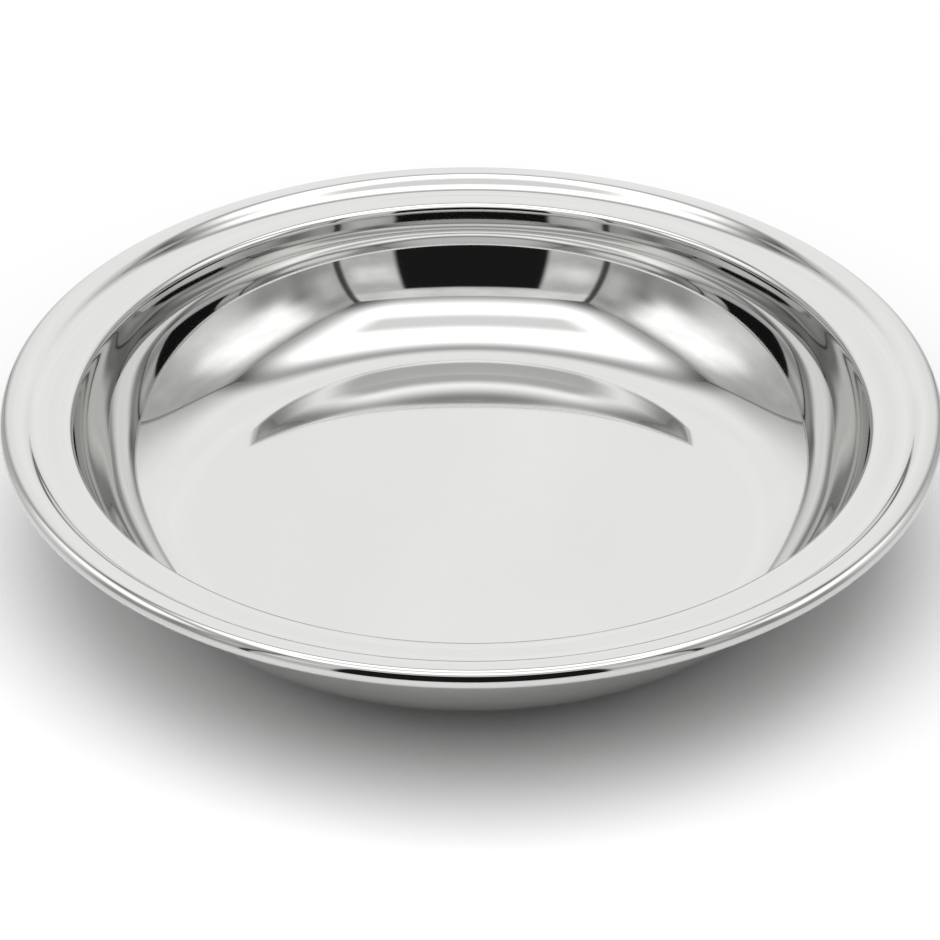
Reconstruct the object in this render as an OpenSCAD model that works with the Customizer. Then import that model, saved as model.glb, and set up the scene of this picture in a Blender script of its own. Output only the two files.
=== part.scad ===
// Deep round thali plate: one pressed sheet whose rim is rolled over a stiffening wire.
// The polished top face of the sheet is one smooth line, followed outwards from the middle of the
// floor. Each run of that line is either straight or a bend, and the sheet hangs below it.

/* [Rim] */
// Overall diameter over the rolled edge
rim_d = 300; // [240:1:400]
// Diameter of the rolled edge
roll_d = 6; // [5:0.1:9]
// Width of the flat flange between the mouth and the step
flange_w = 7; // [2:0.5:25]
// Width of the flat land between the step and the rolled edge
land_w = 2.5; // [2:0.5:12]
// Rise of the step between the flange and the land
step_h = 5.1; // [3.5:0.1:9]
// Slope of the step's face, from level
step_slope = 50; // [35:1:70]
// Bend radius on the top face at the foot and at the head of the step
step_bend_r = 3; // [1.5:0.1:4]

/* [Bowl] */
// Inside depth, from the flange down to the floor
bowl_depth = 49.5; // [40:0.5:70]
// Bend radius on the top face where the wall turns over into the flange
mouth_bend_r = 2.8; // [1.5:0.1:5]
// Height of the steepest band of the wall, measured along it, just below the mouth
collar_w = 2; // [0.5:0.5:4]
// Lean of that band, from upright
collar_lean = 2.5; // [0:0.5:12]
// Bend radius on the top face between the steep band and the leaning wall
wall_bend_r = 46; // [20:1:56]
// Lean of the wall below that bend, from upright
wall_lean = 27; // [20:0.5:32]
// Height of the leaning wall, measured along it
wall_w = 2.9; // [0.5:0.1:10]
// Slope of the sheet where the belly's bend gives way to the tighter one at its foot, from level
belly_slope = 28; // [20:1:50]
// Bend radius on the top face at the foot of the bowl
foot_bend_r = 30; // [15:0.5:40]
// Slope of the outer floor, from level
floor_slope = 3.4; // [0.5:0.1:4]
// Width of the sloping outer floor, measured along it
floor_band_w = 14; // [4:1:40]
// Bend radius on the top face between the flat middle of the floor and the sloping part
floor_bend_r = 600; // [200:10:900]

/* [Sheet and wire] */
// Thickness of the sheet
sheet_t = 1.2; // [0.6:0.05:1.4]
// Angle that the rolled edge turns through, from level
roll_turn = 280; // [265:1:290]
// Clearance between the rolled sheet and the wire inside it
wire_gap = 0.05; // [0.02:0.01:0.2]

/* [Hidden] */
$fn = 180;

steel = [0.81, 0.81, 0.80];
wire_steel = [0.62, 0.63, 0.64];

rim_r = rim_d / 2;
roll_r = roll_d / 2;
wire_r = roll_r - sheet_t - wire_gap;

// Largest turn between two points of a bend
bend_step = 4;

// A run is [length, radius, turn]. A straight run has a length and no turn.
// A bend has the radius of the top face and a turn in degrees, positive to the left, which is
// upwards when the sheet lies level.
function straight(length) = [length, 0, 0];
function bend(radius, turn) = [0, radius, turn];
function part_of(run, share) = run * [[share, 0, 0], [0, 1, 0], [0, 0, share]];

// A stand is [x, y, heading]: a place on the top face and the way the line goes there.
function bend_centre(stand, run) =
    [stand.x, stand.y] + sign(run.z) * run.y * [-sin(stand.z), cos(stand.z)];
function after_bend(stand, run) =
    let (heading = stand.z + run.z)
    let (place = bend_centre(stand, run) - sign(run.z) * run.y * [-sin(heading), cos(heading)])
    [place.x, place.y, heading];
function after_straight(stand, run) = stand + run.x * [cos(stand.z), sin(stand.z), 0];
function after(stand, run) = run.z == 0 ? after_straight(stand, run) : after_bend(stand, run);

// The stand at the end of a list of runs
function end_of(runs, stand = [0, 0, 0], i = 0) =
    i == len(runs) ? stand : end_of(runs, after(stand, runs[i]), i + 1);

// All stands along a list of runs, with steps along each bend
function stands_on(stand, run) =
    let (steps = max(1, ceil(abs(run.z) / bend_step)))
    [for (i = [0:1:steps - 1]) after(stand, part_of(run, i / steps))];
function stands_along(runs, stand, i = 0) =
    i == len(runs)
    ? [stand]
    : concat(stands_on(stand, runs[i]), stands_along(runs, after(stand, runs[i]), i + 1));

// The runs below and above the belly's bend
lower_runs = [
    bend(floor_bend_r, floor_slope), straight(floor_band_w), bend(foot_bend_r, belly_slope - floor_slope)
];
upper_runs = [
    straight(wall_w), bend(wall_bend_r, wall_lean - collar_lean), straight(collar_w),
    bend(mouth_bend_r, collar_lean - 90)
];
below_belly = end_of(lower_runs);
above_belly = end_of(upper_runs, [0, 0, 90 - wall_lean]);

// The belly's bend makes up the depth that they leave
belly_rise = bowl_depth - below_belly.y - above_belly.y;
belly_bend_r = belly_rise / (cos(belly_slope) - sin(wall_lean));
belly_reach = belly_bend_r * (cos(wall_lean) - sin(belly_slope));
belly = bend(belly_bend_r, 90 - wall_lean - belly_slope);
bowl_reach = below_belly.x + belly_reach + above_belly.x;

// The step between the flange and the land: two bends and the straight face between them
step_foot = bend(step_bend_r, step_slope);
step_head = bend(step_bend_r, -step_slope);
step_bends = end_of([step_foot, step_head]);
step_rise = step_h - step_bends.y;
step_face = straight(step_rise / sin(step_slope));
step_reach = step_bends.x + step_rise / tan(step_slope);

// What is left of the rim's radius is the flat middle of the floor
floor_r = rim_r - roll_r - land_w - step_reach - flange_w - bowl_reach;

sheet_line = concat(
    [straight(floor_r)], lower_runs, [belly], upper_runs,
    [straight(flange_w), step_foot, step_face, step_head, straight(land_w), bend(roll_r, -roll_turn)]
);
line_stands = stands_along(sheet_line, [0, sheet_t, 0]);
roll_centre = [rim_r - roll_r, sheet_t + bowl_depth + step_h - roll_r];

// Cross-section of the sheet: out along the top face and back along the underside
module sheet_section() {
    top_face = [for (stand = line_stands) [stand.x, stand.y]];
    underside = [for (stand = line_stands) [stand.x, stand.y] + sheet_t * [sin(stand.z), -cos(stand.z)]];
    last = len(line_stands) - 1;
    polygon(concat(top_face, [for (i = [last:-1:0]) underside[i]]));
}

module pressed_dish() {
    color(steel)
        rotate_extrude()
            sheet_section();
}

module rim_wire() {
    color(wire_steel)
        rotate_extrude()
            translate(roll_centre)
                circle(r = wire_r);
}

pressed_dish();
rim_wire();
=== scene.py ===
"""Looks for the round thali plate: the polished dish, the wire in its rolled edge and a light tent.

The dish and the wire are figures of revolution. Each one's cross-section is drawn here from named
sizes, the same as in the CAD source, and a geometry node tree turns it round the plate's axis.
"""

import bisect
import math

import bpy
from bpy.props import FloatProperty, FloatVectorProperty, IntProperty, PointerProperty
from mathutils import Matrix, Vector


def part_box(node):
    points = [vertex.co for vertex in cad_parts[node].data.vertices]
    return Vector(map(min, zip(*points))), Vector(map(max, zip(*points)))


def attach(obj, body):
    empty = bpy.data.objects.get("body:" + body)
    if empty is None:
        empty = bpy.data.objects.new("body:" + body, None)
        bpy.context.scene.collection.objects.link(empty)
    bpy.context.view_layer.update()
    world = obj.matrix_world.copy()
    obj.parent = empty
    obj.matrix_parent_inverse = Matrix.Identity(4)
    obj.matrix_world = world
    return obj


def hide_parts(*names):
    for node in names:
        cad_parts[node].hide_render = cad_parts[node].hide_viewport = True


bl_info = {
    "name": "Thali Plate",
    "version": (1, 0, 0),
    "blender": (4, 5, 0),
    "location": "View3D > Sidebar > Thali",
    "description": "Makes a polished thali plate and the light tent it stands in",
    "category": "Object",
}

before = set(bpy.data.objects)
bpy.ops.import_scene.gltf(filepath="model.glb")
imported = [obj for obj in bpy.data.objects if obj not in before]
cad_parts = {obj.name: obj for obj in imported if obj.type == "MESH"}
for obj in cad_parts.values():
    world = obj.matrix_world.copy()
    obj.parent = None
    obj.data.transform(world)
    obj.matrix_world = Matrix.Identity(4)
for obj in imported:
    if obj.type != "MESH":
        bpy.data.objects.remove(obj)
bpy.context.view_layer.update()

RIM_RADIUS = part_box("pressed_dish")[1].x
MM = 0.001
ROUND_STEPS = 384


# Sizes and colours that a user would change


def length_property(name, description, default):
    return FloatProperty(
        name=name, description=description, default=default, min=0.0, max=1.0,
        precision=5, subtype="DISTANCE", unit="LENGTH",
    )


def angle_property(name, description, degrees, high=360.0):
    return FloatProperty(
        name=name, description=description, default=math.radians(degrees), min=0.0,
        max=math.radians(high), subtype="ANGLE", unit="ROTATION",
    )


def share_property(name, description, default):
    return FloatProperty(
        name=name, description=description, default=default, min=0.0, max=1.0, subtype="FACTOR"
    )


def level_property(name, description, default):
    return FloatProperty(name=name, description=description, default=default, min=0.0, max=20.0)


def colour_property(name, description, default):
    return FloatVectorProperty(
        name=name, description=description, default=default, size=3, min=0.0, max=1.0,
        subtype="COLOR",
    )


class ThaliDishSizes(bpy.types.PropertyGroup):
    rim_radius: length_property("Rim radius", "Outermost radius of the rolled edge", RIM_RADIUS)
    roll_radius: length_property("Roll radius", "Radius of the rolled edge", 3 * MM)
    roll_turn: angle_property("Roll turn", "How far the edge is rolled, from level", 280)
    land_width: length_property("Land", "Flat width between the step and the roll", 2.5 * MM)
    step_height: length_property("Step height", "Rise from the flange to the land", 5.1 * MM)
    step_slope: angle_property("Step slope", "Slope of the step's face, from level", 50, 90)
    step_bend: length_property("Step bends", "Bend radius at the step's foot and head", 3 * MM)
    flange_width: length_property("Flange", "Flat width between the mouth and the step", 7 * MM)
    bowl_depth: length_property("Depth", "From the flange down to the floor", 49.5 * MM)
    mouth_bend: length_property("Mouth bend", "Bend radius at the bowl's mouth", 2.8 * MM)
    collar_width: length_property("Collar", "Width of the steepest band of the wall", 2 * MM)
    collar_lean: angle_property("Collar lean", "Lean of that band, from upright", 2.5, 90)
    wall_bend: length_property("Wall bend", "Bend radius below the collar", 46 * MM)
    wall_lean: angle_property("Wall lean", "Lean of the wall, from upright", 27, 90)
    wall_width: length_property("Wall", "Height of the leaning wall, along it", 2.9 * MM)
    belly_slope: angle_property("Belly slope", "Slope where the belly meets the foot", 28, 90)
    foot_bend: length_property("Foot bend", "Bend radius at the foot of the bowl", 30 * MM)
    floor_slope: angle_property("Floor slope", "Slope of the outer floor", 3.4, 90)
    floor_band: length_property("Floor band", "Width of the sloping outer floor", 14 * MM)
    floor_bend: length_property("Floor bend", "Bend radius of the floor", 600 * MM)
    sheet: length_property("Sheet", "Thickness of the sheet", 1.2 * MM)
    ease: length_property("Ease", "How far the bowl's bends run into each other", 6 * MM)
    rim_ease: length_property("Rim ease", "The same for the step in the rim", 3.2 * MM)
    roll_ease: length_property("Roll ease", "The same for the mouth and the roll", 0.3 * MM)
    wire_gap: length_property("Wire gap", "Clearance round the wire", 0.05 * MM)
    round_steps: IntProperty(
        name="Steps round", description="Faces round the plate", default=ROUND_STEPS,
        min=24, max=720,
    )


class ThaliFinish(bpy.types.PropertyGroup):
    steel: colour_property("Steel", "Colour of the polished sheet", (0.58, 0.58, 0.571))
    wire_steel: colour_property("Wire", "Colour of the wire", (0.56, 0.57, 0.58))
    gloss: share_property("Polish", "Roughness of the cleanest polish", 0.035)
    scuffed: share_property("Scuffed", "Roughness where the base rubs on tables", 0.24)
    mark_depth: length_property("Mark depth", "Depth of the polishing marks", 0.0004 * MM)


class ThaliStudio(bpy.types.PropertyGroup):
    roof: level_property("Roof", "Light of the tent's roof", 2.6)
    walls: level_property("Walls", "Light of the tent's sides and front", 0.78)
    back: level_property("Back", "Light of the tent's back", 1.32)
    spots: level_property("Spots", "Light where the lamps shine through the sides", 1.75)
    spill: share_property("Spill", "Share of the tent's light that reaches the floor", 0.22)
    lamp_power: level_property("Lamp", "Power of the lamp below the roof, in watts", 6.0)
    floor: colour_property("Floor", "Colour of the floor", (0.86, 0.86, 0.86))


# Cross-sections: a line of runs on the sheet's top face, each straight or a bend


class Walk:
    """Follows a line from place to place and keeps each point with the normal on its left."""

    def __init__(self, x, z, heading=0.0):
        self.x, self.z, self.heading = x, z, heading
        self.points = []
        self.mark()

    def mark(self):
        up = (-math.sin(self.heading), math.cos(self.heading))
        self.points.append((self.x, self.z, up[0], up[1]))

    def straight(self, length, parts=1):
        for _ in range(parts):
            self.x += length / parts * math.cos(self.heading)
            self.z += length / parts * math.sin(self.heading)
            self.mark()

    def bend(self, radius, turn, parts):
        side = math.copysign(radius, turn)
        for _ in range(parts):
            centre = (
                self.x - side * math.sin(self.heading),
                self.z + side * math.cos(self.heading),
            )
            self.heading += turn / parts
            self.x = centre[0] + side * math.sin(self.heading)
            self.z = centre[1] - side * math.cos(self.heading)
            self.mark()


def bend_reach(radius, start, turn):
    """How far along and up a bend goes from a heading. A turn to the left is positive."""
    side = math.copysign(radius, turn)
    end = start + turn
    return side * (math.sin(end) - math.sin(start)), side * (math.cos(start) - math.cos(end))


def straight_reach(length, heading):
    return length * math.cos(heading), length * math.sin(heading)


# Places in the list of runs: the mouth's bend and the roll
MOUTH_RUN = 8
ROLL_RUN = 14


def sheet_runs(s):
    """The runs of the sheet's top face as (length or radius, turn, parts), from the axis out."""
    upright = math.pi / 2
    wall, collar = upright - s.wall_lean, upright - s.collar_lean
    lower = [
        bend_reach(s.floor_bend, 0, s.floor_slope),
        straight_reach(s.floor_band, s.floor_slope),
        bend_reach(s.foot_bend, s.floor_slope, s.belly_slope - s.floor_slope),
    ]
    upper = [
        straight_reach(s.wall_width, wall),
        bend_reach(s.wall_bend, wall, s.wall_lean - s.collar_lean),
        straight_reach(s.collar_width, collar),
        bend_reach(s.mouth_bend, collar, -collar),
    ]
    near, rise = (sum(part[i] for part in lower + upper) for i in (0, 1))
    # The belly's bend makes up the depth that the other runs leave
    belly_bend = (s.bowl_depth - rise) / (math.cos(s.belly_slope) - math.cos(wall))
    bowl_reach = near + bend_reach(belly_bend, s.belly_slope, wall - s.belly_slope)[0]
    foot_x, foot_z = bend_reach(s.step_bend, 0, s.step_slope)
    face_rise = s.step_height - 2 * foot_z
    step_reach = 2 * foot_x + face_rise / math.tan(s.step_slope)
    floor_radius = (
        s.rim_radius - s.roll_radius - s.land_width - step_reach - s.flange_width - bowl_reach
    )
    return [
        (floor_radius, 0, 6),
        (s.floor_bend, s.floor_slope, 6),
        (s.floor_band, 0, 3),
        (s.foot_bend, s.belly_slope - s.floor_slope, 14),
        (belly_bend, wall - s.belly_slope, 16),
        (s.wall_width, 0, 2),
        (s.wall_bend, s.wall_lean - s.collar_lean, 14),
        (s.collar_width, 0, 2),
        (s.mouth_bend, -collar, 20),
        (s.flange_width, 0, 3),
        (s.step_bend, s.step_slope, 9),
        (face_rise / math.sin(s.step_slope), 0, 2),
        (s.step_bend, -s.step_slope, 9),
        (s.land_width, 0, 2),
        (s.roll_radius, -s.roll_turn, 40),
    ]


def sheet_line(s, fineness=1.0):
    """Points along the sheet's top face, from the plate's axis to the end of the roll."""
    walk = Walk(0.0, s.sheet)
    for size, turn, parts in sheet_runs(s):
        parts = max(1, round(parts * fineness))
        if turn:
            walk.bend(size, turn, parts)
        else:
            walk.straight(size, parts)
    return walk


def distances_along(points):
    """How far along the line each point lies."""
    along = [0.0]
    for (x0, z0, _, _), (x1, z1, _, _) in zip(points, points[1:]):
        along.append(along[-1] + math.dist((x0, z0), (x1, z1)))
    return along


def eased_normals(points, along, reaches):
    """The points again, each with its normal averaged over its reach to both sides."""
    turned, headings = [0.0], [0.0]
    for (x0, z0, _, _), (x1, z1, nx, nz) in zip(points, points[1:]):
        turn = math.remainder(math.atan2(-nx, nz) - headings[-1], 2 * math.pi)
        step = math.dist((x0, z0), (x1, z1))
        turned.append(turned[-1] + step * (headings[-1] + turn / 2))
        headings.append(headings[-1] + turn)

    def total(at):
        """The heading summed from the start, at a distance along the line."""
        i = max(1, bisect.bisect_left(along, at))
        share = (at - along[i - 1]) / (along[i] - along[i - 1])
        here = headings[i - 1] + (headings[i] - headings[i - 1]) * share
        return turned[i - 1] + (at - along[i - 1]) * (headings[i - 1] + here) / 2

    eased = []
    for (x, z, _, _), at, reach in zip(points, along, reaches):
        low, high = max(at - reach, 0.0), min(at + reach, along[-1])
        heading = (total(high) - total(low)) / (high - low)
        eased.append((x, z, -math.sin(heading), math.cos(heading)))
    eased[0] = (*points[0][:2], 0.0, 1.0)
    return eased


def ease_reaches(s, along):
    """Each point's reach for its normal: wide in the bowl and the rim, small at mouth and roll."""
    parts = [part for _, _, part in sheet_runs(s)]
    mouth, roll = sum(parts[:MOUTH_RUN]), sum(parts[:ROLL_RUN])

    def reach(i, at):
        to_mouth, to_roll = 0.5 * (along[mouth] - at), 0.5 * (along[roll] - at)
        if i < mouth:
            return min(s.ease, to_mouth, at + s.roll_ease)
        return min(s.rim_ease, -to_mouth, to_roll)

    return [max(s.roll_ease, reach(i, at)) for i, at in enumerate(along)]


def sheet_section(s):
    """The whole outline of the sheet: top face, rounded cut edge, underside."""
    walk = sheet_line(s)
    along = distances_along(walk.points)
    top = eased_normals(walk.points, along, ease_reaches(s, along))
    edge = Walk(walk.x, walk.z, walk.heading)
    edge.bend(s.sheet / 2, -math.pi, 6)
    under = [
        (x - s.sheet * nx, z - s.sheet * nz, -nx, -nz)
        for x, z, nx, nz in reversed(sheet_line(s, 0.5).points)
    ]
    return top + edge.points[1:-1] + under


def wire_section(s, parts=28):
    """The wire's round outline, closed by its last point."""
    radius = s.roll_radius - s.sheet - s.wire_gap
    centre_x = s.rim_radius - s.roll_radius
    centre_z = s.sheet + s.bowl_depth + s.step_height - s.roll_radius
    turns = [2 * math.pi * i / parts for i in range(parts + 1)]
    return [
        (centre_x + radius * math.sin(a), centre_z + radius * math.cos(a), math.sin(a), math.cos(a))
        for a in turns
    ]


# Nodes


class Nodes:
    """Adds nodes to a shader or geometry tree with few words."""

    def __init__(self, tree):
        self.tree = tree

    def node(self, kind, **values):
        made = self.tree.nodes.new(kind)
        for key, value in values.items():
            setattr(made, key, value)
        return made

    def put(self, socket, value):
        """Links an output to the socket, or sets the socket to a plain value."""
        if isinstance(value, bpy.types.NodeSocket):
            self.tree.links.new(value, socket)
        elif value is not None:
            socket.default_value = value

    def fill(self, node, values):
        """Puts values into a node's inputs, given as name to value."""
        for name, value in values.items():
            self.put(node.inputs[name], value)
        return node

    def maths(self, operation, *values):
        made = self.node("ShaderNodeMath", operation=operation)
        for socket, value in zip(made.inputs, values):
            self.put(socket, value)
        return made.outputs[0]

    def length(self, a, b):
        """The square root of a squared plus b squared."""
        squares = [self.maths("MULTIPLY", value, value) for value in (a, b)]
        return self.maths("SQRT", self.maths("ADD", *squares))

    def ramp(self, value, low, high, to_low=0.0, to_high=1.0, kind="SMOOTHSTEP"):
        made = self.node("ShaderNodeMapRange", interpolation_type=kind)
        self.fill(made, {
            "Value": value, "From Min": low, "From Max": high, "To Min": to_low, "To Max": to_high,
        })
        return made.outputs["Result"]

    def mix(self, share, a, b):
        made = self.node("ShaderNodeMix", data_type="FLOAT")
        return self.fill(made, {"Factor": share, "A": a, "B": b}).outputs["Result"]

    def split(self, vector):
        made = self.node("ShaderNodeSeparateXYZ")
        self.put(made.inputs[0], vector)
        return made.outputs

    def join(self, x=0.0, y=0.0, z=0.0):
        made = self.node("ShaderNodeCombineXYZ")
        for socket, value in zip(made.inputs, (x, y, z)):
            self.put(socket, value)
        return made.outputs[0]

    def scaled(self, *pairs):
        """A vector from up to three pairs of a coordinate and its scale."""
        return self.join(*(self.maths("MULTIPLY", value, scale) for value, scale in pairs))

    def noise(self, vector, scale, detail, roughness):
        made = self.node("ShaderNodeTexNoise", noise_dimensions="3D")
        self.fill(made, {
            "Vector": vector, "Scale": scale, "Detail": detail, "Roughness": roughness,
        })
        return made.outputs["Fac"]


def new_group(name, inputs, outputs):
    """An empty shader node group with float inputs, given as name to default, and outputs."""
    tree = bpy.data.node_groups.new(name, "ShaderNodeTree")
    for label, value in inputs.items():
        socket = tree.interface.new_socket(label, in_out="INPUT", socket_type="NodeSocketFloat")
        socket.default_value = value
    for label in outputs:
        tree.interface.new_socket(label, in_out="OUTPUT", socket_type="NodeSocketFloat")
    s = Nodes(tree)
    return tree, s, s.node("NodeGroupInput").outputs, s.node("NodeGroupOutput").inputs


# Turned pieces


SEAM_GAP = 1e-7


def turned_section_tree():
    """A tree that turns a cross-section in the XZ plane round the Z axis."""
    tree = bpy.data.node_groups.new("turned_section", "GeometryNodeTree")
    face = tree.interface
    face.new_socket("Section", in_out="INPUT", socket_type="NodeSocketGeometry")
    steps = face.new_socket("Steps Round", in_out="INPUT", socket_type="NodeSocketInt")
    steps.default_value = ROUND_STEPS
    merge = face.new_socket("Seam Gap", in_out="INPUT", socket_type="NodeSocketFloat")
    merge.default_value = SEAM_GAP
    face.new_socket("Finish", in_out="INPUT", socket_type="NodeSocketMaterial")
    face.new_socket("Geometry", in_out="OUTPUT", socket_type="NodeSocketGeometry")

    s = Nodes(tree)
    given = s.node("NodeGroupInput").outputs
    count = s.fill(
        s.node("GeometryNodeAttributeDomainSize", component="MESH"), {"Geometry": given["Section"]}
    )
    rows = count.outputs["Point Count"]
    # A grid with one row for each point of the section and one column for each step round
    grid = s.fill(
        s.node("GeometryNodeMeshGrid"),
        {"Vertices X": s.maths("ADD", given["Steps Round"], 1), "Vertices Y": rows},
    )
    index = s.node("GeometryNodeInputIndex").outputs["Index"]
    column = s.maths("FLOOR", s.maths("DIVIDE", s.maths("ADD", index, 0.5), rows))
    row = s.maths("SUBTRACT", index, s.maths("MULTIPLY", column, rows))
    angle = s.maths("MULTIPLY", s.maths("DIVIDE", column, given["Steps Round"]), 2 * math.pi)
    cosine, sine = s.maths("COSINE", angle), s.maths("SINE", angle)

    def turned(vector):
        """The section's vector at this row, turned to this column's angle."""
        sample = s.fill(
            s.node("GeometryNodeSampleIndex", data_type="FLOAT_VECTOR", domain="POINT"),
            {"Geometry": given["Section"], "Value": vector, "Index": row},
        )
        x, _, z = s.split(sample.outputs["Value"])
        return s.join(s.maths("MULTIPLY", x, cosine), s.maths("MULTIPLY", x, sine), z)

    place = turned(s.node("GeometryNodeInputPosition").outputs["Position"])
    lay = s.node("GeometryNodeInputNamedAttribute", data_type="FLOAT_VECTOR")
    lay.inputs["Name"].default_value = "lay"
    normal = turned(lay.outputs["Attribute"])

    store_map = s.fill(
        s.node("GeometryNodeStoreNamedAttribute", data_type="FLOAT2", domain="CORNER"),
        {"Geometry": grid.outputs["Mesh"], "Name": "UVMap", "Value": grid.outputs["UV Map"]},
    )
    store_lay = s.fill(
        s.node("GeometryNodeStoreNamedAttribute", data_type="FLOAT_VECTOR", domain="POINT"),
        {"Geometry": store_map.outputs["Geometry"], "Name": "turned_lay", "Value": normal},
    )
    move = s.fill(
        s.node("GeometryNodeSetPosition"),
        {"Geometry": store_lay.outputs["Geometry"], "Position": place},
    )
    weld = s.fill(
        s.node("GeometryNodeMergeByDistance"),
        {"Geometry": move.outputs["Geometry"], "Distance": given["Seam Gap"]},
    )
    real = s.fill(
        s.node("GeometryNodeRealizeInstances"), {"Geometry": weld.outputs["Geometry"]}
    )
    finish = s.fill(
        s.node("GeometryNodeSetMaterial"),
        {"Geometry": real.outputs["Geometry"], "Material": given["Finish"]},
    )
    s.put(s.node("NodeGroupOutput").inputs[0], finish.outputs["Geometry"])
    return tree


def socket_name(tree, name):
    """The identifier of a tree's named input."""
    for item in tree.interface.items_tree:
        if item.item_type == "SOCKET" and item.in_out == "INPUT" and item.name == name:
            return item.identifier
    raise RuntimeError(f"the node tree has no input named {name}")


def turned_piece(name, section, steps, finish):
    """A piece whose mesh is the section turned round the Z axis, with the section's own normals."""
    tree = bpy.data.node_groups.get("turned_section") or turned_section_tree()
    outline = bpy.data.meshes.new(name + "_outline")
    outline.from_pydata([(x, 0, z) for x, z, _, _ in section], [], [])
    lay = outline.attributes.new("lay", "FLOAT_VECTOR", "POINT")
    lay.data.foreach_set("vector", [v for _, _, nx, nz in section for v in (nx, 0, nz)])
    piece = bpy.data.objects.new(name, outline)
    bpy.context.scene.collection.objects.link(piece)
    turn = piece.modifiers.new("turned_section", "NODES")
    turn.node_group = tree
    turn[socket_name(tree, "Steps Round")] = steps
    turn[socket_name(tree, "Finish")] = finish
    graph = bpy.context.evaluated_depsgraph_get()
    mesh = bpy.data.meshes.new_from_object(piece.evaluated_get(graph), depsgraph=graph)
    piece.modifiers.clear()
    piece.data = mesh
    mesh.name = name
    normals = [0.0] * (3 * len(mesh.vertices))
    mesh.attributes["turned_lay"].data.foreach_get("vector", normals)
    mesh.attributes.remove(mesh.attributes["turned_lay"])
    vectors = [Vector(normals[i:i + 3]) for i in range(0, len(normals), 3)]
    # The grid's faces all look the same way, so the largest one tells whether that is outwards
    face = max(mesh.polygons, key=lambda p: p.area)
    if face.normal.dot(vectors[face.vertices[0]]) < 0:
        mesh.flip_normals()
    mesh.shade_smooth()
    mesh.normals_split_custom_set_from_vertices([v.normalized() for v in vectors])
    return piece


# Steel

# Heights of the marks, in mark depths
STREAK_HEIGHT = 0.35
WAVE_HEIGHT = 12.0
SCRATCH_HEIGHT = 0.25
RUB_HEIGHT = 1.2

# Roughness of smeared polish, in times that of clean polish
HAZE = 2.2


def polish_group():
    """Marks that the polishing wheel leaves round the plate, and the wear of use."""
    tree, s, given, result = new_group(
        "polish_and_wear",
        {"Clean": 0.035, "Hazy": 0.09, "Scuffed": 0.24, "Base Height": 1.5 * MM},
        ("Roughness", "Height", "Tone"),
    )
    place = s.node("ShaderNodeTexCoord").outputs["Object"]
    x, y, z = s.split(place)
    radius = s.length(x, y)
    off_axis = s.maths("MAXIMUM", radius, 2 * MM)
    way_x, way_y = (s.maths("DIVIDE", value, off_axis) for value in (x, y))
    # Long thin streaks round the axis: fast across the line, slow along it
    across = s.maths("ADD", radius, s.maths("MULTIPLY", z, 0.7))
    streak_place = s.scaled((across, 2600.0), (way_x, 7.0), (way_y, 7.0))
    streaks = s.noise(streak_place, scale=1.0, detail=3.0, roughness=0.6)
    waves = s.noise(place, scale=38.0, detail=1.0, roughness=0.4)
    smear_noise = s.noise(place, scale=17.0, detail=3.0, roughness=0.62)
    smears = s.ramp(smear_noise, low=0.48, high=0.72)
    # Fine scratches that run along Y and along X
    scratch, crossed = (
        s.noise(s.scaled(*pairs), scale=1.0, detail=4.0, roughness=0.7)
        for pairs in (
            ((x, 900.0), (y, 34.0), (z, 60.0)),
            ((x, 40.0), (y, 820.0), (z, 60.0)),
        )
    )
    scratches = s.maths(
        "MAXIMUM", s.ramp(scratch, low=0.66, high=0.74), s.ramp(crossed, low=0.67, high=0.75)
    )
    base = s.ramp(z, low=given["Base Height"], high=0.0)
    patchy = s.ramp(s.noise(place, scale=90.0, detail=4.0, roughness=0.7), low=0.35, high=0.65)
    rubbed = s.maths("MULTIPLY", base, patchy)

    rough = s.mix(s.maths("MULTIPLY", smears, 0.5), given["Clean"], given["Hazy"])
    rough = s.maths("ADD", rough, s.maths("MULTIPLY", scratches, 0.05))
    s.put(result["Roughness"], s.mix(rubbed, rough, given["Scuffed"]))
    height = s.maths(
        "ADD", s.maths("MULTIPLY", streaks, STREAK_HEIGHT), s.maths("MULTIPLY", waves, WAVE_HEIGHT)
    )
    height = s.maths("SUBTRACT", height, s.maths("MULTIPLY", scratches, SCRATCH_HEIGHT))
    height = s.maths("SUBTRACT", height, s.maths("MULTIPLY", rubbed, RUB_HEIGHT))
    s.put(result["Height"], height)
    tone = s.maths("ADD", 0.985, s.maths("MULTIPLY", streaks, 0.03))
    s.put(result["Tone"], s.maths("SUBTRACT", tone, s.maths("MULTIPLY", rubbed, 0.08)))
    return tree


def steel_material(name, colour, clean, hazy, scuffed, depth):
    """Bare steel whose colour, roughness and bump come from the polish and wear group."""
    made = bpy.data.materials.new(name)
    made.use_nodes = True
    made.diffuse_color = (*colour, 1)
    s = Nodes(made.node_tree)
    wear = s.node("ShaderNodeGroup")
    wear.node_tree = bpy.data.node_groups.get("polish_and_wear") or polish_group()
    s.fill(wear, {"Clean": clean, "Hazy": hazy, "Scuffed": scuffed})
    tint = s.node("ShaderNodeMix", data_type="RGBA", blend_type="MULTIPLY")
    tint.inputs["Factor"].default_value = 1.0
    tint.inputs["A"].default_value = (*colour, 1)
    s.put(tint.inputs["B"], wear.outputs["Tone"])
    bump = s.fill(
        s.node("ShaderNodeBump"),
        {"Strength": 1.0, "Distance": depth, "Height": wear.outputs["Height"]},
    )
    s.fill(made.node_tree.nodes["Principled BSDF"], {
        "Metallic": 1.0, "Base Color": tint.outputs["Result"],
        "Roughness": wear.outputs["Roughness"], "Normal": bump.outputs["Normal"],
    })
    return made


# The light tent, in plate radii: a roof, two sides, a front with an opening, and a sloping back

TENT_SIDE = 3.25
TENT_FRONT = 3.4
TENT_TOP = 4.3
BACK_FOOT = 3.5
BACK_HEAD = 1.8

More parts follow.
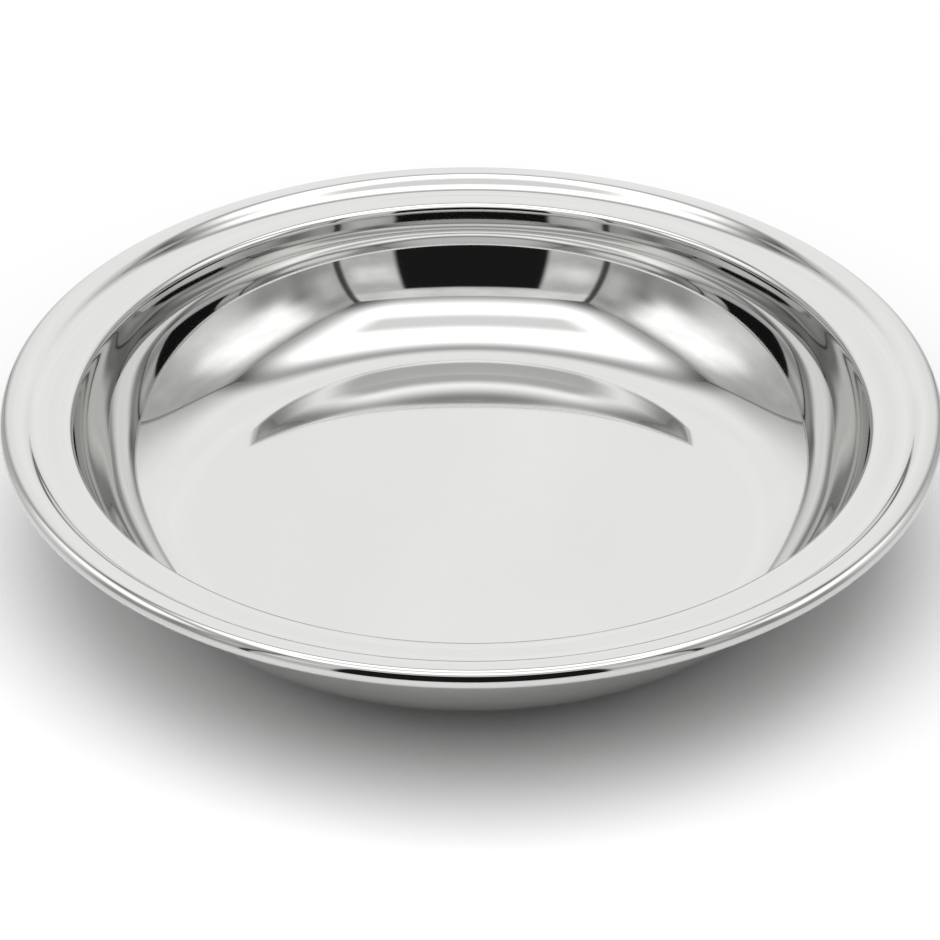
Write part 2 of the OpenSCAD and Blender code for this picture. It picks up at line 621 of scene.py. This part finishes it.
LAMP_WIDTH = 4.8
LAMP_LENGTH = 4.4
LAMP_AHEAD = 2.1
LAMP_BELOW_ROOF = 0.05

# The level of the opening in the front, through which the camera looks
OPENING_LEVEL = 0.015


def patch_group():
    """A soft-edged box on a flat card: 1 inside, 0 outside."""
    tree, s, given, result = new_group(
        "soft_patch",
        {"Across": 0.0, "Up": 0.0, "Centre Across": 0.0, "Centre Up": 0.0,
         "Half Across": 1.0, "Half Up": 1.0, "Blur": 0.2},
        ("Mask",),
    )

    def side(at, centre, half):
        away = s.maths("ABSOLUTE", s.maths("SUBTRACT", given[at], given[centre]))
        past = s.maths("SUBTRACT", away, given[half])
        return s.maths("MAXIMUM", s.maths("ADD", past, given["Blur"]), 0.0)

    u, v = side("Across", "Centre Across", "Half Across"), side("Up", "Centre Up", "Half Up")
    reach = s.maths("MULTIPLY", given["Blur"], 2.0)
    s.put(result["Mask"], s.ramp(s.maths("DIVIDE", s.length(u, v), reach), low=1.0, high=0.0))
    return tree


class Card:
    """Paints a tent wall: a light level over the wall's own across and up, in plate radii."""

    def __init__(self, name, across, up, level):
        self.material = bpy.data.materials.new(name)
        self.material.use_nodes = True
        self.material.node_tree.nodes.clear()
        self.s = Nodes(self.material.node_tree)
        place = self.s.node("ShaderNodeTexCoord").outputs["Object"]
        axes = dict(zip("xyz", self.s.split(place)))
        self.across, self.up = (
            self.s.maths("MULTIPLY", axes[axis], 1 / RIM_RADIUS) for axis in (across, up)
        )
        self.level = level

    def aside(self):
        """The distance from the card's middle line, the same to both sides."""
        return self.s.maths("ABSOLUTE", self.across)

    def patch(self, level, centre, half, blur, mirrored=False):
        """Moves the level towards the given one inside a soft box."""
        s = self.s
        group = s.node("ShaderNodeGroup")
        group.node_tree = bpy.data.node_groups.get("soft_patch") or patch_group()
        s.fill(group, {
            "Across": self.aside() if mirrored else self.across, "Up": self.up,
            "Centre Across": centre[0], "Centre Up": centre[1],
            "Half Across": half[0], "Half Up": half[1], "Blur": blur,
        })
        self.level = s.mix(group.outputs["Mask"], self.level, level)

    def band(self, value, low, high, after, before=1.0):
        """Multiplies the level by a soft ramp, from before at low to after at high."""
        shade = self.s.ramp(value, low, high, before, after)
        self.level = self.s.maths("MULTIPLY", self.level, shade)

    def clouds(self, depth, scale):
        """Uneven light, as through cloth."""
        s = self.s
        noise = s.noise(s.join(self.across, self.up), scale, detail=3.0, roughness=0.55)
        cloud = s.ramp(noise, 0.3, 0.7, 1 - depth, 1 + depth, "LINEAR")
        self.level = s.maths("MULTIPLY", self.level, cloud)

    def finish(self, spill):
        """The material: full light in mirrors, and a share of it on matt things."""
        s = self.s
        diffuse = s.node("ShaderNodeLightPath").outputs["Is Diffuse Ray"]
        light = s.node("ShaderNodeEmission")
        strength = s.maths("MULTIPLY", self.level, s.mix(diffuse, 1.0, spill))
        s.put(light.inputs["Strength"], strength)
        s.put(s.node("ShaderNodeOutputMaterial").inputs["Surface"], light.outputs[0])
        return self.material


def flat_object(name, corners, material):
    """An object with one flat face."""
    mesh = bpy.data.meshes.new(name)
    mesh.from_pydata(corners, [], [(0, 1, 2, 3)])
    mesh.materials.append(material)
    made = bpy.data.objects.new(name, mesh)
    bpy.context.scene.collection.objects.link(made)
    return made


def make_card(name, corners, material):
    """A flat card of the tent, which lights and shows in mirrors but hides nothing."""
    card = flat_object(name, [[v * RIM_RADIUS for v in c] for c in corners], material)
    card.visible_camera = False
    card.visible_shadow = False


def paint_roof(studio):
    roof = Card("tent_roof_light", "x", "y", studio.roof)
    roof.patch(studio.roof * 0.43, (0.0, -0.78), (1.75, 0.62), 0.4)
    roof.band(roof.up, BACK_HEAD - 1.25, BACK_HEAD - 0.03, 0.25)
    roof.band(roof.aside(), TENT_SIDE - 1.7, TENT_SIDE - 0.03, 0.24)
    roof.band(roof.up, 1.7 - TENT_FRONT, 0.03 - TENT_FRONT, 0.24)
    return roof


def paint_sides(studio):
    sides = Card("tent_side_light", "y", "z", studio.walls)
    # Level, centre, half size and blur of the lamps' light, then of the darker front
    for level, centre, half, blur in (
        (studio.spots * 0.6, (0.35, 1.5), (0.75, 0.8), 0.6),
        (studio.spots, (-0.25, 2.65), (1.25, 0.95), 0.55),
        (studio.walls * 0.6, (-2.75, 2.0), (0.65, 1.9), 0.5),
        (studio.walls * 0.92, (-2.85, 2.2), (0.42, 0.8), 0.4),
        (studio.walls * 0.42, (-1.92, 1.3), (0.36, 0.92), 0.42),
        (studio.walls * 0.55, (-1.25, 0.7), (0.6, 0.75), 0.45),
    ):
        sides.patch(level, centre, half, blur)
    sides.band(sides.up, TENT_TOP - 0.5, TENT_TOP, 0.6)
    sides.band(sides.across, 0.9, 1.9, 0.8)
    sides.band(sides.across, 0.2 - TENT_FRONT, 0.06 - TENT_FRONT, 0.12)
    sides.clouds(0.1, 1.1)
    return sides


def paint_front(studio):
    front = Card("tent_front_light", "x", "z", studio.walls * 0.9)
    front.patch(studio.walls * 1.3, (2.25, 2.05), (0.7, 0.5), 0.4, mirrored=True)
    front.band(front.up, 3.2, 3.6, 1.45)
    front.clouds(0.14, 0.9)
    front.patch(OPENING_LEVEL, (0.0, 1.1), (1.6, 2.14), 0.08)
    front.band(front.aside(), TENT_SIDE - 0.2, TENT_SIDE - 0.06, 0.12)
    return front


def paint_back(studio):
    back = Card("tent_back_light", "x", "z", studio.back)
    back.band(back.aside(), 1.2, TENT_SIDE - 0.1, 0.55)
    back.band(back.aside(), TENT_SIDE - 0.25, TENT_SIDE - 0.02, 0.4)
    back.band(back.up, 0.0, 1.8, 1.0, before=0.85)
    back.band(back.up, TENT_TOP - 0.9, TENT_TOP, 0.45)
    back.clouds(0.04, 0.8)
    return back


def make_tent(studio):
    roof, sides, front, back = (
        paint(studio).finish(studio.spill)
        for paint in (paint_roof, paint_sides, paint_front, paint_back)
    )
    # The tent's eight corners, each pair left then right
    front_low, front_high, back_low, back_high = (
        [(across, y, z) for across in (-TENT_SIDE, TENT_SIDE)]
        for y, z in (
            (-TENT_FRONT, 0), (-TENT_FRONT, TENT_TOP), (BACK_FOOT, 0), (BACK_HEAD, TENT_TOP)
        )
    )
    make_card("tent_roof", (*front_high, back_high[1], back_high[0]), roof)
    make_card("tent_left", (front_low[0], back_low[0], back_high[0], front_high[0]), sides)
    make_card("tent_right", (front_low[1], front_high[1], back_high[1], back_low[1]), sides)
    make_card("tent_front", (front_low[0], *front_high, front_low[1]), front)
    make_card("tent_back", (*back_low, back_high[1], back_high[0]), back)


def make_lamp(power):
    """The soft lamp just below the roof, in front of the plate, that casts the shadow."""
    data = bpy.data.lights.new("roof_lamp", "AREA")
    data.shape = "RECTANGLE"
    data.size, data.size_y = LAMP_WIDTH * RIM_RADIUS, LAMP_LENGTH * RIM_RADIUS
    data.energy = power
    lamp = bpy.data.objects.new("roof_lamp", data)
    lamp.location = (0, -LAMP_AHEAD * RIM_RADIUS, (TENT_TOP - LAMP_BELOW_ROOF) * RIM_RADIUS)
    lamp.visible_camera = False
    lamp.visible_glossy = False
    bpy.context.scene.collection.objects.link(lamp)


# The floor turns white between these distances, in plate radii, from a place ahead of the plate

FLOOR_HALF = 12.0
WHITE_FROM = 1.1
WHITE_TO = 2.3
WHITE_AHEAD = 0.45
WHITE_SQUEEZE = 1.25


def floor_material(colour):
    """A pale floor that keeps the plate's shadow and turns plain white further out."""
    made = bpy.data.materials.new("studio_floor")
    made.use_nodes = True
    s = Nodes(made.node_tree)
    principled = s.fill(
        made.node_tree.nodes["Principled BSDF"],
        {"Base Color": (*colour, 1), "Roughness": 0.9, "Specular IOR Level": 0.0},
    )
    place = s.node("ShaderNodeTexCoord").outputs["Object"]
    x, y, _ = s.split(place)
    # The shadow falls to the front, so the white round it is centred there too
    ahead = s.maths("ADD", y, WHITE_AHEAD * RIM_RADIUS)
    away = s.length(s.maths("MULTIPLY", x, WHITE_SQUEEZE), ahead)
    far = s.ramp(s.maths("DIVIDE", away, RIM_RADIUS), WHITE_FROM, WHITE_TO)
    path = s.node("ShaderNodeLightPath").outputs
    mirrored = s.maths("MAXIMUM", path["Is Glossy Ray"], path["Is Transmission Ray"])
    seen = s.maths("MAXIMUM", path["Is Camera Ray"], mirrored)
    white = s.node("ShaderNodeEmission")
    blend = s.node("ShaderNodeMixShader")
    for socket, value in zip(
        blend.inputs, (s.maths("MULTIPLY", far, seen), principled.outputs[0], white.outputs[0])
    ):
        s.put(socket, value)
    s.put(made.node_tree.nodes["Material Output"].inputs["Surface"], blend.outputs[0])
    return made


def make_floor(studio):
    half = FLOOR_HALF
    corners = [(-half, -half, 0), (half, -half, 0), (half, half, 0), (-half, half, 0)]
    floor = flat_object("studio_floor", corners, floor_material(studio.floor))


def make_world():
    """White for the camera, and nothing behind the tent for light and mirrors."""
    world = bpy.data.worlds.new("studio_surroundings")
    world.use_nodes = True
    s = Nodes(world.node_tree)
    path = s.node("ShaderNodeLightPath").outputs
    s.fill(
        world.node_tree.nodes["Background"],
        {"Color": (1, 1, 1, 1), "Strength": path["Is Camera Ray"]},
    )
    bpy.context.scene.world = world


# The camera, found by fitting the plate's outline, its mouth and lines mirrored in the bowl.
# The distance is in plate radii.

CAMERA_TILT = math.radians(35.747)
CAMERA_DISTANCE = 4.9968
FOCAL_PIXELS = 2230.2
AXIS_PIXEL = (471.65, 517.9)
IMAGE_PIXELS = 940
SENSOR_WIDTH = 36.0


def make_camera():
    data = bpy.data.cameras.new("photo_camera")
    data.sensor_fit = "HORIZONTAL"
    data.sensor_width = SENSOR_WIDTH
    data.lens = SENSOR_WIDTH * FOCAL_PIXELS / IMAGE_PIXELS
    data.shift_x = 0.5 - AXIS_PIXEL[0] / IMAGE_PIXELS
    data.shift_y = AXIS_PIXEL[1] / IMAGE_PIXELS - 0.5
    camera = bpy.data.objects.new("photo_camera", data)
    way = Vector((0, -math.cos(CAMERA_TILT), math.sin(CAMERA_TILT)))
    turn = way.to_track_quat("Z", "Y").to_matrix().to_4x4()
    camera.matrix_world = Matrix.Translation(way * CAMERA_DISTANCE * RIM_RADIUS) @ turn
    bpy.context.scene.collection.objects.link(camera)
    bpy.context.scene.camera = camera


# Operators


class THALI_OT_make_dish(bpy.types.Operator):
    """Make the pressed dish in place of the CAD node"""

    bl_idname = "thali.make_dish"
    bl_label = "Make Dish"

    def execute(self, context):
        sizes, finish = context.scene.thali_sizes, context.scene.thali_finish
        steel = steel_material(
            "polished_steel", finish.steel, clean=finish.gloss, hazy=finish.gloss * HAZE,
            scuffed=finish.scuffed, depth=finish.mark_depth,
        )
        dish = turned_piece("polished_dish", sheet_section(sizes), sizes.round_steps, steel)
        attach(dish, "root")
        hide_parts("pressed_dish")
        return {"FINISHED"}


class THALI_OT_make_wire(bpy.types.Operator):
    """Make the wire that the edge is rolled over"""

    bl_idname = "thali.make_wire"
    bl_label = "Make Wire"

    def execute(self, context):
        sizes, finish = context.scene.thali_sizes, context.scene.thali_finish
        steel = steel_material(
            "drawn_wire_steel", finish.wire_steel, clean=0.22, hazy=0.34, scuffed=0.4,
            depth=finish.mark_depth * 3,
        )
        wire = turned_piece("rolled_edge_wire", wire_section(sizes), sizes.round_steps, steel)
        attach(wire, "root")
        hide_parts("rim_wire")
        return {"FINISHED"}


class THALI_OT_make_studio(bpy.types.Operator):
    """Make the light tent, its lamp, the floor, the surroundings and the camera"""

    bl_idname = "thali.make_studio"
    bl_label = "Make Studio"

    def execute(self, context):
        studio = context.scene.thali_studio
        make_tent(studio)
        make_lamp(studio.lamp_power)
        make_floor(studio)
        make_world()
        make_camera()
        context.scene.view_settings.view_transform = "Standard"
        # Lines on the steep wall are mirrored many times before they reach the tent
        context.scene.cycles.max_bounces = 12
        context.scene.cycles.glossy_bounces = 10
        context.scene.cycles.min_light_bounces = 10
        return {"FINISHED"}


class THALI_PT_panel(bpy.types.Panel):
    """Sizes, finish and light of the thali plate"""

    bl_label = "Thali Plate"
    bl_idname = "THALI_PT_panel"
    bl_space_type = "VIEW_3D"
    bl_region_type = "UI"
    bl_category = "Thali"

    def draw(self, context):
        scene = context.scene
        for settings, title, operator in (
            (scene.thali_sizes, "Dish", "thali.make_dish"),
            (scene.thali_finish, "Finish", "thali.make_wire"),
            (scene.thali_studio, "Studio", "thali.make_studio"),
        ):
            box = self.layout.box()
            box.label(text=title)
            for name in settings.__annotations__:
                box.prop(settings, name)
            box.operator(operator)


CLASSES = (
    ThaliDishSizes, ThaliFinish, ThaliStudio,
    THALI_OT_make_dish, THALI_OT_make_wire, THALI_OT_make_studio, THALI_PT_panel,
)


def register():
    for cls in CLASSES:
        bpy.utils.register_class(cls)
    bpy.types.Scene.thali_sizes = PointerProperty(type=ThaliDishSizes)
    bpy.types.Scene.thali_finish = PointerProperty(type=ThaliFinish)
    bpy.types.Scene.thali_studio = PointerProperty(type=ThaliStudio)


def unregister():
    del bpy.types.Scene.thali_studio
    del bpy.types.Scene.thali_finish
    del bpy.types.Scene.thali_sizes
    for cls in reversed(CLASSES):
        bpy.utils.unregister_class(cls)


def main():
    register()
    bpy.ops.thali.make_dish()
    bpy.ops.thali.make_wire()
    bpy.ops.thali.make_studio()


if __name__ == "__main__":
    main()
